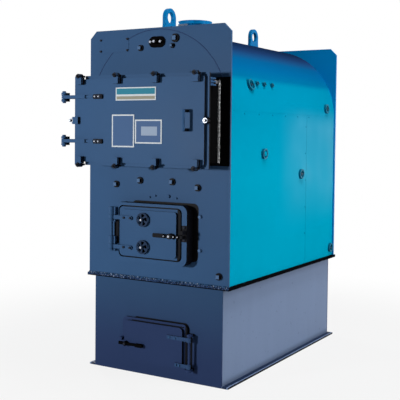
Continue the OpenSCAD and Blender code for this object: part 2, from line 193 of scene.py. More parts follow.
class ShaderTree:
    """A shader's nodes, filled in by expressions on their values."""

    def __init__(self, tree):
        self.tree = tree

    def node(self, kind, settings=None, inputs=None, output=0):
        """Adds a node, sets it up, feeds its inputs and gives back one of its outputs."""
        made = self.tree.nodes.new(kind)
        for name, value in (settings or {}).items():
            if name == "stops":
                ramp = made.color_ramp
                while len(ramp.elements) < len(value):
                    ramp.elements.new(1.0)
                for element, (position, colour) in zip(ramp.elements, value):
                    element.position = position
                    element.color = colour
            else:
                setattr(made, name, value)
        for key, value in (inputs or {}).items():
            self.feed(made.inputs[key], value)
        return Value(self, made.outputs[output])

    def feed(self, socket, value):
        """Links a value to a socket, or sets the socket to a number or colour."""
        if isinstance(value, Value):
            self.tree.links.new(value.socket, socket)
        else:
            socket.default_value = value

    def calc(self, operation, *values):
        """A Math node on one or two values."""
        return self.node("ShaderNodeMath", {"operation": operation}, dict(enumerate(values)))

    def seen(self):
        """1 for what the camera sees, directly or in a mirror, and 0 for light on the boiler."""
        camera = self.node("ShaderNodeLightPath", output="Is Camera Ray")
        mirrored = self.calc("MAXIMUM", camera, camera.output("Is Glossy Ray"))
        return self.calc("MAXIMUM", mirrored, camera.output("Is Transmission Ray"))

    def show(self, output, factor, first, second):
        """Sends a mix of two shaders to the tree's output node."""
        mix = self.node("ShaderNodeMixShader", None, {0: factor, 1: first, 2: second})
        self.feed(self.tree.nodes[output].inputs[0], mix)


class Finish(ShaderTree):
    """One material on the Principled shader, filled in by the functions below."""

    def __init__(self, name):
        self.material = bpy.data.materials.new(name)
        self.material.use_nodes = True
        super().__init__(self.material.node_tree)
        self.skin = self.tree.nodes["Principled BSDF"]
        self.place = self.node("ShaderNodeTexCoord", output="Object")

    def noise(self, scale, detail, place=None):
        """A cloudy pattern from 0 to 1, finer with a larger scale."""
        inputs = {"Vector": place or self.place, "Scale": scale, "Detail": detail}
        return self.node("ShaderNodeTexNoise", None, inputs)

    def band(self, value, low, high):
        """0 below low, 1 above high, and smooth between."""
        settings = {"interpolation_type": "SMOOTHSTEP"}
        inputs = {"Value": value, "From Min": low, "From Max": high, "To Min": 0.0, "To Max": 1.0}
        return self.node("ShaderNodeMapRange", settings, inputs)

    def blend(self, factor, first, second, mode="MIX"):
        """A mix of two colours: the first where the factor is 0, the second where it is 1."""
        settings = {"data_type": "RGBA", "blend_type": mode}
        return self.node("ShaderNodeMix", settings, {0: factor, 6: first, 7: second}, 2)

    def axes(self):
        """Object X, Y and Z as three values."""
        split = self.node("ShaderNodeSeparateXYZ", None, {0: self.place})
        return [split.output(axis) for axis in "XYZ"]

    def field(self, x0, x1, z0, z1):
        """1 inside an upright rectangle, and 0 outside it."""
        x, _, z = self.axes()
        return (x > x0) * (x < x1) * (z > z0) * (z < z1)

    def rounded_field(self, x0, x1, z0, z1, radius):
        """1 inside an upright rectangle with round corners, and 0 outside it."""
        soft = 0.002

        def past(value, start, end):
            """How far a place lies past the straight stretch of the rectangle's side."""
            straight = (end - start) / 2.0 - radius
            return self.calc("MAXIMUM", abs(value - (start + end) / 2.0) - straight, 0.0)

        x, _, z = self.axes()
        across = past(x, x0, x1)
        up = past(z, z0, z1)
        away = self.calc("SQRT", across * across + up * up)
        return 1.0 - self.band(away, radius - soft, radius + soft)

    def on_face(self, face):
        """1 on a face at a depth in Y, and 0 off it."""
        _, y, _ = self.axes()
        return (y > face - EDGE) * (y < face + EDGE)

    def bump(self, height, strength, distance):
        """Roughens the surface by a pattern of heights."""
        inputs = {"Height": height, "Strength": strength, "Distance": distance}
        self.set(Normal=self.node("ShaderNodeBump", None, inputs))

    def set(self, **sockets):
        """Feeds the shader's sockets, each named with underscores for spaces."""
        for name, value in sockets.items():
            self.feed(self.skin.inputs[name.replace("_", " ")], value)


def enamel(finish, colour, rough=0.42, drift=0.10, gloss=0.04):
    """Gives a finish the skin of enamel, with a fine orange peel, and returns its drifting colour."""
    cloud = finish.noise(2.6, 4.0)
    peel = finish.noise(420.0, 2.0)
    finish.set(Roughness=rough - 0.06 + 0.14 * cloud, Specular_IOR_Level=gloss)
    finish.bump(peel, 0.12, 0.0006)
    return finish.blend(cloud, shade(colour, 1.0 - drift), shade(colour, 1.0 + drift))


def painted(name, colour, **skin):
    """Plain enamel, brushed or sprayed."""
    finish = Finish(name)
    finish.set(Base_Color=enamel(finish, colour, **skin))
    return finish.material


def shadowed_sheet(name, colour, foot, painted_shadows):
    """Enamel that darkens down to the base's foot, with black painted shadow round a door frame.

    A painted shadow is a rectangle and the radius of its corners.
    """
    finish = Finish(name)
    tone = enamel(finish, colour)
    _, _, z = finish.axes()
    up = finish.band(z, 0.06, RING_LOW.z + 0.06)
    tone = finish.blend(up, foot, tone)
    # Painted shadow: black over each rectangle.
    for rectangle, radius in painted_shadows:
        tone = finish.blend(finish.rounded_field(*rectangle, radius), tone, SHADOW_BLACK)
    finish.set(Base_Color=tone)
    return finish.material


def base_side_paint(name, colour, rail):
    """Enamel on the base's sides, streaked and specked, paler than the base's front as painted light.

    It is darker at its foot and under the ring as painted shade. The foot rail is painted dark on its
    top and black on its outer face as shade, with a painted highlight along its outer edge.
    """
    finish = Finish(name)
    tone = enamel(finish, colour, rough=0.45, drift=0.08)
    x, _, z = finish.axes()
    out = abs(x)
    stretch = (1.0, 6.0, 1.2)
    streaks = finish.node("ShaderNodeVectorMath", {"operation": "MULTIPLY"}, {0: finish.place, 1: stretch})
    cloud = finish.noise(2.2, 4.0, streaks)
    tone = finish.blend(0.35 * cloud, tone, shade(colour, 0.72))
    # Painted shade: darker at the foot and under the ring.
    foot = 1.0 - finish.band(z, 0.006, 0.045)
    tone = finish.blend(foot, tone, shade(colour, 0.55))
    under_ring_shade = finish.band(z, RING_LOW.z - 0.065, RING_LOW.z)
    tone = finish.blend(0.7 * under_ring_shade, tone, shade(colour, 0.45))
    specks = finish.band(finish.noise(46.0, 2.0), 0.69, 0.73)
    tone = finish.blend(0.5 * specks, tone, shade(colour, 0.5))
    # Painted shade on the foot rail: dark on top, black on its outer face.
    tone = finish.blend(out > PANEL_X + 0.004, tone, rail)
    # A painted highlight along the rail's outer edge.
    tone = finish.blend(out > RAIL_X - 0.010, tone, shade(colour, 1.15))
    finish.set(Base_Color=finish.blend(out > RAIL_X - 0.001, tone, RAIL_SHADE_BLACK))
    return finish.material


def weld_ledge(name, colour, face):
    """Rough weld metal under thin enamel with worn flecks, ahead of a depth in Y.

    It is painted black as shade behind that depth and along the underside of the base's ring.
    """
    finish = Finish(name)
    _, y, z = finish.axes()
    lumps = finish.noise(95.0, 3.0)
    flecks = finish.band(finish.noise(150.0, 2.0), 0.60, 0.66)
    tone = finish.blend(finish.band(lumps, 0.42, 0.58), shade(colour, 0.35), colour)
    tone = finish.blend(0.75 * flecks, tone, WORN_FLECK)
    # Painted shade: black behind the face and under the ring.
    unshaded = (y < face + EDGE) * (z > RING_LOW.z + 0.005)
    finish.set(Base_Color=finish.blend(unshaded, SHADOW_BLACK, tone), Roughness=0.6, Specular_IOR_Level=0.0)
    finish.bump(lumps, 0.6, 0.003)
    return finish.material


def cast_front(name, colour, ahead, faces=(), dark=()):
    """Enamel ahead of a depth in Y and on the given faces, and black behind and in the dark fields.

    The black is painted shade. A dark field is a rectangle and the depth behind which it holds.
    """
    finish = Finish(name)
    tone = enamel(finish, colour)
    _, y, _ = finish.axes()
    # Painted shade: black on the edges behind the front and in the dark fields.
    lit = y < ahead + EDGE
    for face in faces:
        lit = lit + finish.on_face(face)
    for rectangle, behind in dark:
        lit = lit * (1.0 - finish.field(*rectangle) * (y > behind))
    finish.set(Base_Color=finish.blend(lit, EDGE_SHADE_BLACK, tone))
    return finish.material


def clamp_steel(name, colour):
    """The clamps' faces in enamel on black painted shade, the two side clamps' stud ends left bright."""
    finish = Finish(name)
    tone = enamel(finish, colour)
    x, y, _ = finish.axes()
    lit = sum(finish.on_face(face) for face in CLAMP_FACES)
    bare = (abs(x) > SIDE_CLAMP_X) * (y < SIDE_STUD_FACE)
    # Painted shade: black on all but the clamps' faces.
    tone = finish.blend(lit, CLAMP_SHADE_BLACK, tone)
    finish.set(Base_Color=finish.blend(bare, tone, BARE_STEEL), Metallic=0.8 * bare)
    return finish.material


def gasket(name, colour):
    """Fibre rope seen along the smokebox's upright sides, painted black as shade at its top and foot."""
    finish = Finish(name)
    x, _, z = finish.axes()
    pitch = 0.024
    twist = finish.calc("SINE", z * (2.0 * math.pi / pitch))
    fuzz = finish.noise(240.0, 4.0)
    # Painted shade: black on the rope outside its upright runs.
    upright = (abs(x) > BOX_HIGH.x + 0.0005) * (z > BOX_LOW.z) * (z < BOX_HIGH.z)
    tone = finish.blend(fuzz, shade(colour, 0.7), shade(colour, 1.1))
    tone = finish.blend(upright, EDGE_SHADE_BLACK, tone)
    finish.set(Base_Color=tone, Roughness=0.95, Specular_IOR_Level=0.05)
    finish.bump(0.5 * twist + fuzz, 0.8, 0.004)
    return finish.material


def jacket_paint(name, painted_sheen, stops):
    """Gloss enamel on thin sheet that waves a little between its screws, deeper over the crown.

    The deeper colour over the crown is painted shade. A stop is a depth below the crown's top and the
    colour there. A painted sheen lies on the sides' rear half.
    """
    finish = Finish(name)
    cloud = finish.noise(1.7, 3.0)
    wave = finish.noise(3.4, 1.0)
    _, y, z = finish.axes()
    deepest = stops[0][0]
    span = deepest - stops[-1][0]
    # Painted shade: the colour deepens towards the crown's top.
    rise = (z + 0.02 * cloud - (CROWN_HIGH.z - deepest)) * (1.0 / span)
    ramp = [((deepest - depth) / span, colour) for depth, colour in stops]
    tone = finish.node("ShaderNodeValToRGB", {"stops": ramp}, {"Fac": rise})
    # A painted sheen on the rear half of the sides.
    rear = finish.band(y, -0.15, 0.25)
    upper_side = finish.band(z, 0.75, 1.15) * (1.0 - finish.band(z, 1.36, 1.52))
    patches = 0.30 + 0.25 * finish.band(wave, 0.35, 0.65)
    tone = finish.blend(rear * upper_side * patches, tone, painted_sheen)
    dust = finish.blend(cloud, grey(0.92), grey(1.06))
    tone = finish.blend(1.0, tone, dust, "MULTIPLY")
    finish.set(Base_Color=tone, Roughness=0.30 + 0.10 * cloud, Specular_IOR_Level=0.0)
    finish.bump(wave, 0.25, 0.02)
    return finish.material


def iron(name, colour):
    """Dark cast or forged iron with a rough skin."""
    finish = Finish(name)
    grain = finish.noise(160.0, 4.0)
    tone = finish.blend(grain, shade(colour, 0.7), shade(colour, 1.35))
    finish.set(Base_Color=tone, Roughness=0.4 + 0.25 * grain, Metallic=0.15, Specular_IOR_Level=0.12)
    finish.bump(grain, 0.5, 0.0015)
    return finish.material


def plated(name):
    """Bright plated steel with light handling marks."""
    finish = Finish(name)
    marks = finish.noise(90.0, 4.0)
    tone = finish.blend(marks, srgb(74, 78, 86), srgb(140, 144, 152))
    finish.set(Base_Color=tone, Roughness=0.42 + 0.2 * marks, Metallic=0.9)
    return finish.material


def sooted(name):
    """Firebox steel: scale and soot in soft patches."""
    finish = Finish(name)
    patch = finish.band(finish.noise(7.0, 5.0), 0.38, 0.68)
    grain = finish.noise(130.0, 3.0)
    tone = finish.blend(patch, srgb(34, 32, 32), srgb(78, 68, 62))
    finish.set(Base_Color=tone, Roughness=0.78 + 0.15 * grain)
    finish.bump(grain, 0.5, 0.002)
    return finish.material


def fibre_board(name, colour):
    """Ceramic fibre board with a fuzzy face that waves slowly."""
    finish = Finish(name)
    x, y, z = finish.axes()
    wave_length = 0.5
    wave = finish.calc("SINE", (x + y + z) * (2.0 * math.pi / wave_length))
    fuzz = finish.noise(240.0, 4.0)
    tone = finish.blend(fuzz, shade(colour, 0.82), shade(colour, 1.08))
    finish.set(Base_Color=tone, Roughness=0.95)
    finish.bump(0.5 * wave + fuzz, 0.7, 0.003)
    return finish.material


def door_plate_print(name, border, fields):
    """Bare plates: a pale border round plain coloured fields."""
    finish = Finish(name)
    tone = border
    for rectangle, colour in fields:
        tone = finish.blend(finish.field(*rectangle), tone, colour)
    finish.set(Base_Color=tone, Roughness=0.5, Specular_IOR_Level=0.04)
    return finish.material


# Painted shadow on the fire sheet and on the base front, right of a door frame and over it.
FIRE_SHADOWS = ((around("fire_door_frame", 0.095, 0.036, 0.020, 0.010), 0.030),)
ASH_SHADOWS = (
    (around("ash_door_frame", 0.063, -0.034, 0.014, 0.006), 0.028),
    (around("ash_door_frame", 0.413, -0.014, 0.000, -0.044), 0.008),
)
# The jacket's colours from the sides up to the crown, deepening as painted shade.
JACKET_SHADE_STOPS = (
    (0.807, srgb(0, 160, 194)),
    (0.457, srgb(0, 146, 182)),
    (0.272, srgb(0, 134, 170)),
    (0.242, srgb(0, 108, 153)),
    (0.187, srgb(1, 97, 150)),
    (0.137, srgb(5, 90, 142)),
    (0.107, srgb(24, 75, 124)),
    (0.075, srgb(27, 57, 101)),
    (0.037, srgb(22, 44, 80)),
)
# The upper plate's two bands, the lower left plate, and the lower right plate with its paler middle.
PLATE_FIELDS = (
    (around("door_plates", 0.030, -0.044, 0.279, -0.006), srgb(52, 128, 150)),
    (around("door_plates", 0.030, -0.044, 0.253, -0.047), srgb(150, 146, 130)),
    (around("door_plates", 0.007, -0.181, 0.007, -0.150), srgb(70, 98, 138)),
    (around("door_plates", 0.158, -0.007, 0.028, -0.177), srgb(76, 102, 142)),
    (around("door_plates", 0.190, -0.029, 0.063, -0.206), srgb(150, 166, 188)),
)
MATERIALS = {
    "slate": painted("slate_enamel", SLATE),
    "slate_base": painted("slate_enamel_base", SLATE_BASE, rough=0.45),
    # The base's sides are paler than its front, as painted light.
    "base_side": base_side_paint("base_side_enamel", srgb(120, 138, 169), srgb(28, 44, 72)),
    # Painted shadow round the ash door and the fire door.
    "shadowed_base": shadowed_sheet("base_enamel_shadowed", srgb(46, 74, 108), SLATE_ASH, ASH_SHADOWS),
    "shadowed": shadowed_sheet("slate_enamel_shadowed", SLATE, SLATE, FIRE_SHADOWS),
    # Painted shade in black behind the ring's face and under it.
    "ring": weld_ledge("ring_weld_enamel", SLATE_BASE, RING_LOW.y),
    "weld": weld_ledge("foot_weld_enamel", SLATE, BEHIND_ALL),
    # Black paint on latch and handhole cover; painted shade on the smokebox's casing and rear frame.
    "black": painted("black_paint_and_shade", srgb(12, 12, 13), rough=0.6, gloss=0.0),
    # The fire door's latch all black: its dark hardware with painted shade.
    "latch": painted("fire_door_latch_enamel", EDGE_SHADE_BLACK, drift=0.0),
    # Clamps with their sides in black painted shade.
    "clamp": clamp_steel("clamp_enamel", SLATE),
    # Painted shade deepening over the crown, and a painted sheen on the sides.
    "jacket": jacket_paint("teal_jacket_enamel", srgb(84, 170, 202), JACKET_SHADE_STOPS),
    "tapping": painted("tapping_enamel", srgb(0, 106, 134)),
    "plug": painted("plug_enamel", srgb(6, 56, 78)),
    # Blue for the jacket's teal in painted shade; the rear sheet lighter, painted light against shadow.
    "end_sheet": painted("end_sheet_shaded_enamel", srgb(0, 112, 172), rough=0.35),
    "rear_sheet": painted("rear_sheet_shaded_enamel", srgb(0, 126, 190), rough=0.35),
    "iron": iron("black_iron", srgb(20, 25, 38)),
    "bright": plated("plated_steel"),
    # Paler slate: a painted highlight on the plugs and the fire door's frame bolts.
    "worn": painted("slate_highlight_enamel", SLATE_HIGHLIGHT),
    "soot": sooted("firebox_scale"),
    "board": fibre_board("fibre_board", srgb(206, 200, 188)),
    "rope": gasket("fibre_rope", srgb(246, 248, 252)),
    "door_plates": door_plate_print("bare_door_plates", srgb(206, 212, 216), PLATE_FIELDS),
}
FINISH_OF = {
    "slate": "front_tube_sheet front_casing_sheet data_plate",
    "shadowed": "front_fire_sheet",
    "ring": "base_top_ring",
    "slate_base": "base_rear_panel",
    "shadowed_base": "base_front_panel",
    "base_side": "base_side_panels",
    "jacket": "jacket_sides jacket_crown",
    "tapping": "side_tappings",
    "end_sheet": "flue_box flue_collar lifting_lugs supply_nozzle supply_flange",
    "rear_sheet": "rear_sheet",
    # Black paint, and painted shade on the smokebox's casing and rear frame.
    "black": "smokebox_casing smokebox_rear_frame ash_door_latch handhole_cover",
    "latch": "fire_door_latch",
    "clamp": "smokebox_door_clamps",
    "iron": "return_coupling grate_bars",
    "soot": """base_floor_pan fire_tubes firebox_side_sheets firebox_crown_sheet firebox_end_sheets
        fire_door_liner""",
    "board": "smokebox_door_lining",
    "rope": "smokebox_seal",
    "door_plates": "door_plates",
}
# Painted shade in black between the fire door's straps, at its keeper, down its right side, round the ash
# door and on the ends of the smokebox door's straps.
FIRE_FRAME_SHADE = (
    (around("fire_door_straps", 0.022, -0.094, 0.028, -0.024), FIRE_RIM_FACE - 0.004),
    (around("fire_door_frame", 0.450, 0.004, 0.131, -0.104), AHEAD_OF_ALL),
)
FIRE_DOOR_SHADE = ((around("fire_door_plate", 0.3775, 0.011, -0.010, 0.010), FIRE_FACE + 0.006),)
ASH_FRAME_SHADE = (
    (around("ash_door_plate", 0.3905, 0.0245, -0.020, 0.020), ASH_FRAME_FACE - 0.002),
    (around("ash_door_plate", 0.040, 0.0045, 0.215, 0.004), ASH_FRAME_FACE - 0.002),
)
DOOR_STRAP_SHADE = ((around("smokebox_door_straps", 0.218, 0.004, -0.010, 0.010), AHEAD_OF_ALL),)
# Castings and plates with enamelled fronts and edges painted black as shade.
CAST_FRONTS = {
    "fire_door_frame": dict(colour=SLATE, ahead=FIRE_RIM_FACE, dark=FIRE_FRAME_SHADE),
    "fire_door_plate": dict(colour=SLATE, ahead=FIRE_FACE, faces=(FIRE_STEP_FACE,), dark=FIRE_DOOR_SHADE),
    "fire_door_straps": dict(colour=SLATE, ahead=FIRE_STRAP_FACE),
    "draft_spinner_lower": dict(colour=SLATE_DARK, ahead=SPINNER_FACE),
    "draft_spinner_upper": dict(colour=SLATE_DARK, ahead=SPINNER_FACE),
    "ash_door_frame": dict(colour=SLATE_ASH, ahead=ASH_FRAME_FACE, dark=ASH_FRAME_SHADE),
    "ash_door_plate": dict(colour=SLATE_ASH, ahead=ASH_FACE),
    "ash_door_straps": dict(colour=srgb(48, 72, 108), ahead=ASH_STRAP_FACE),
    "smokebox_flange": dict(colour=SLATE, ahead=FLANGE_FACE),
    "smokebox_door_plate": dict(colour=SLATE, ahead=DOOR_FACE),
    "smokebox_hinge_brackets": dict(colour=SLATE, ahead=DOOR_HINGE_AXIS),
    "smokebox_door_straps": dict(
        colour=SLATE, ahead=DOOR_KNUCKLE_FACE, faces=(DOOR_STRAP_FACE,), dark=DOOR_STRAP_SHADE),
    "smokebox_door_handle": dict(colour=SLATE, ahead=GRIP_AXIS),
    # The plugs' fronts in paler slate, a painted highlight.
    "front_plugs": dict(colour=SLATE_HIGHLIGHT, ahead=PLUG_FACE),
}


def dress_nodes():
    """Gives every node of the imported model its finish."""
    for finish, names in FINISH_OF.items():
        for name in names.split():
            dress(name, MATERIALS[finish])
    for name, look in CAST_FRONTS.items():
        dress(name, cast_front(name + "_enamel", **look))


def dress(name, material):
    """Gives a node one material."""
    mesh = nodes[name].data
    mesh.materials.clear()
    mesh.materials.append(material)


def sized_tree(name, sizes):
    """A Geometry Nodes tree with a named input for each size, and its input and output nodes."""
    tree = bpy.data.node_groups.new(name, "GeometryNodeTree")
    tree.interface.new_socket("Geometry", in_out="INPUT", socket_type="NodeSocketGeometry")
    for size in sizes:
        tree.interface.new_socket(size, in_out="INPUT", socket_type="NodeSocketFloat")
    tree.interface.new_socket("Geometry", in_out="OUTPUT", socket_type="NodeSocketGeometry")
    return tree, tree.nodes.new("NodeGroupInput"), tree.nodes.new("NodeGroupOutput")


def fastener_tree(sides, material):
    """Geometry Nodes: one headed fastener on each point, turned to the point's own facing."""
    tree, given, result = sized_tree("fasteners", ("Head radius", "Head height"))
    add = tree.nodes.new
    link = tree.links.new
    taper = add("ShaderNodeMath")
    taper.operation = "MULTIPLY"
    taper.inputs[1].default_value = HEAD_TAPER
    head = add("GeometryNodeMeshCone")
    head.inputs["Vertices"].default_value = sides
    facing = add("GeometryNodeInputNamedAttribute")
    facing.data_type = "FLOAT_VECTOR"
    facing.inputs["Name"].default_value = "facing"
    turn = add("FunctionNodeAlignRotationToVector")
    turn.axis = "Z"
    put = add("GeometryNodeInstanceOnPoints")
    real = add("GeometryNodeRealizeInstances")
    coat = add("GeometryNodeSetMaterial")
    coat.inputs["Material"].default_value = material
    link(given.outputs["Head radius"], taper.inputs[0])
    link(given.outputs["Head radius"], head.inputs["Radius Bottom"])
    link(taper.outputs[0], head.inputs["Radius Top"])
    link(given.outputs["Head height"], head.inputs["Depth"])
    link(given.outputs["Geometry"], put.inputs["Points"])
    link(head.outputs["Mesh"], put.inputs["Instance"])
    link(facing.outputs["Attribute"], turn.inputs["Vector"])
    link(turn.outputs["Rotation"], put.inputs["Rotation"])
    link(put.outputs["Instances"], real.inputs["Geometry"])
    link(real.outputs["Geometry"], coat.inputs["Geometry"])
    link(coat.outputs["Geometry"], result.inputs["Geometry"])
    return tree


def weld_tree(material):
    """Geometry Nodes: a rippled bead along each edge path."""
    tree, given, result = sized_tree("weld_bead", ("Bead radius", "Ripple"))
    add = tree.nodes.new
    link = tree.links.new
    path = add("GeometryNodeMeshToCurve")
    even = add("GeometryNodeResampleCurve")
    even.inputs["Count"].default_value = BEAD_RINGS
    ring = add("GeometryNodeCurvePrimitiveCircle")
    ring.inputs["Resolution"].default_value = BEAD_SIDES
    sweep = add("GeometryNodeCurveToMesh")
    lumps = add("ShaderNodeTexNoise")
    lumps.inputs["Scale"].default_value = BEAD_LUMPS
    centred = add("ShaderNodeVectorMath")
    centred.operation = "SUBTRACT"
    centred.inputs[1].default_value = (0.5, 0.5, 0.5)
    sized = add("ShaderNodeVectorMath")
    sized.operation = "SCALE"
    move = add("GeometryNodeSetPosition")
    coat = add("GeometryNodeSetMaterial")
    coat.inputs["Material"].default_value = material
    link(given.outputs["Geometry"], path.inputs["Mesh"])
    link(path.outputs["Curve"], even.inputs["Curve"])
    link(given.outputs["Bead radius"], ring.inputs["Radius"])
    link(even.outputs["Curve"], sweep.inputs["Curve"])
    link(ring.outputs["Curve"], sweep.inputs["Profile Curve"])
    link(lumps.outputs["Color"], centred.inputs[0])
    link(centred.outputs["Vector"], sized.inputs[0])
    link(given.outputs["Ripple"], sized.inputs["Scale"])
    link(sweep.outputs["Mesh"], move.inputs["Geometry"])
    link(sized.outputs["Vector"], move.inputs["Offset"])
    link(move.outputs["Geometry"], coat.inputs["Geometry"])
    link(coat.outputs["Geometry"], result.inputs["Geometry"])
    return tree


def add_piece(name, mesh, body):
    """Puts a finished mesh into the scene, on its body."""
    piece = bpy.data.objects.new(name, mesh)
    scene.collection.objects.link(piece)
    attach(piece, body)


def grown(name, mesh, tree, sizes, body):
    """Runs a tree on a mesh, and adds the result as a plain mesh."""
    seed = bpy.data.objects.new(name + "_seed", mesh)
    scene.collection.objects.link(seed)
    modifier = seed.modifiers.new("grow", "NODES")
    modifier.node_group = tree
    for item in tree.interface.items_tree:
        if item.in_out == "INPUT" and item.name in sizes:
            modifier[item.identifier] = sizes[item.name]
    ready = seed.evaluated_get(bpy.context.evaluated_depsgraph_get())
    made = bpy.data.meshes.new_from_object(ready)
    bpy.data.objects.remove(seed)
    add_piece(name, made, body)


def fasteners(name, places, finish, body, radius, height, sides=HEX):
    """Heads at a list of places, each a point and the direction that it faces."""
    mesh = bpy.data.meshes.new(name)
    mesh.from_pydata([point for point, _ in places], [], [])
    facing = mesh.attributes.new("facing", "FLOAT_VECTOR", "POINT")
    for entry, (_, direction) in zip(facing.data, places):
        entry.vector = direction
    tree = fastener_tree(sides, MATERIALS[finish])
    grown(name, mesh, tree, {"Head radius": radius, "Head height": height}, body)


def welds(name, paths, finish, radius):
    """Weld beads along lists of points on the boiler."""
    points = []
    edges = []
    for path in paths:
        start = len(points)
        points.extend(path)
        edges.extend((start + i, start + i + 1) for i in range(len(path) - 1))
    mesh = bpy.data.meshes.new(name)
    mesh.from_pydata(points, edges, [])
    sizes = {"Bead radius": radius, "Ripple": radius * BEAD_RIPPLE}
    grown(name, mesh, weld_tree(MATERIALS[finish]), sizes, "boiler")


def facing_front(x, y, z):
    """A fastener's place that faces ahead."""
    return (Vector((x, y, z)), AHEAD)


def raised(places, step):
    """The same places, a step further out."""
    return [(point + out * step, out) for point, out in places]


def strap_heights(node, half_height):
    """The heights of a door's lower and upper strap, at their middles."""
    low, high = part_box(node)
    return (low.z + half_height, high.z - half_height)


def jacket_screws():
    """Sheet-metal screws along the jacket's seams, on both sides."""
    row_start = SHEET_FACE + 0.178
    row_pitch = 0.172
    row_count = 6
    row_z = CROWN_LOW.z - 0.012
    column_pitch = 0.165
    column_count = 5
    # The rear seam, the rear edge and the front edge: behind the sheet's face, and below the crown's foot.
    columns = ((0.994, 0.072), (1.438, 0.141), (0.030, 0.015))
    places = []
    for side in (-1, 1):
        out = RIGHT * side
        for i in range(row_count):
            places.append((Vector((side * JACKET_X, row_start + row_pitch * i, row_z)), out))
        for back, down in columns:
            for i in range(column_count):
                z = CROWN_LOW.z - down - column_pitch * i
                places.append((Vector((side * JACKET_X, SHEET_FACE + back, z)), out))
    fasteners("jacket_screws", places, "jacket", "boiler", radius=0.0055, height=0.003, sides=12)


def tapping_plugs():
    """Plugs in the tappings of the jacket, on both sides: painted square heads, and one flush disc."""
    large = []
    small = []
    flush = []
    # How far the tappings' faces lie from the boiler's middle line, on the sides and round the crown.
    side_reach = CROWN_R + 0.005
    crown_reach = CROWN_R + 0.006
    # On the flat sides: behind the sheet's face, and above the base's ring.
    flat = ((0.411, 0.692, flush), (0.920, 0.561, large), (1.410, 0.053, large))
    # On the crown: behind the sheet's face, and in degrees above level.
    curved = ((1.312, 6.0, large), (0.280, 19.0, large), (0.363, 20.5, small), (0.449, 20.5, small),
              (0.550, 20.5, small))
    for side in (-1, 1):
        for back, up, group in flat:
            point = Vector((side * side_reach, SHEET_FACE + back, RING_HIGH.z + up))
            group.append((point, RIGHT * side))
        for back, degrees, group in curved:
            angle = math.radians(degrees)
            out = RIGHT * (side * math.cos(angle)) + UP * math.sin(angle)
            centre = Vector((0.0, SHEET_FACE + back, CROWN_LOW.z))
            group.append((centre + out * crown_reach, out))
    fasteners("tapping_plugs", large, "plug", "boiler", radius=0.0135, height=0.007, sides=SQUARE)
    fasteners("small_tapping_plugs", small, "plug", "boiler", radius=0.007, height=0.007, sides=SQUARE)
    fasteners("flush_tapping_plugs", flush, "jacket", "boiler", radius=0.0150, height=0.0085, sides=24)


def smokebox_door_fasteners():
    """Strap bolts on washers, hinge nuts, clamp nuts, and the anchors of the lining."""
    door = "smokebox_door"
    heights = strap_heights("smokebox_door_straps", 0.013)
    strap_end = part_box("smokebox_door_straps")[1].x
    bolts = [facing_front(strap_end - back, DOOR_STRAP_FACE, z) for z in heights for back in (0.043, 0.018)]
    washer = 0.003
    fasteners("smokebox_strap_washers", bolts, "iron", door, radius=0.0125, height=washer, sides=20)
    fasteners("smokebox_strap_bolts", raised(bolts, washer), "bright", door, radius=0.0055, height=0.008)

    pin_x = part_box("smokebox_hinge_brackets")[0].x + 0.016
    half_pin = 0.024
    pins = [(Vector((pin_x, DOOR_HINGE_AXIS, z + way * half_pin)), UP * way)
            for z in heights for way in (-1, 1)]
    fasteners("smokebox_hinge_nuts", pins, "slate", "boiler", radius=0.012, height=0.009)

    reach = DOOR_HIGH.x - 0.042
    seat = DOOR_FACE - 0.032
    rows = (DOOR_LOW.z - CLAMP_OUT, DOOR_HIGH.z + CLAMP_OUT)
    nuts = [facing_front(x, seat, z) for x in (-reach, -reach / 3.0, reach / 3.0, reach) for z in rows]
    fasteners("smokebox_clamp_nuts", nuts, "iron", door, radius=0.012, height=0.007)
    side_z = (DOOR_LOW.z + DOOR_HIGH.z) / 2.0 + 0.0005
    seat = DOOR_FACE - 0.020
    nuts = [facing_front(x, seat, side_z) for x in (DOOR_LOW.x - CLAMP_OUT, DOOR_HIGH.x + CLAMP_OUT)]
    fasteners("smokebox_side_clamp_nuts", nuts, "iron", door, radius=0.009, height=0.010)

    low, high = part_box("smokebox_door_lining")
    first_row = low.z + 0.077
    row_pitch = 0.110
    anchors = [(Vector((x, high.y, first_row + row_pitch * row)), -AHEAD)
               for x in (-0.27, -0.09, 0.09, 0.27) for row in range(3)]
    fasteners("lining_anchors", anchors, "bright", door, radius=0.016, height=0.004, sides=16)


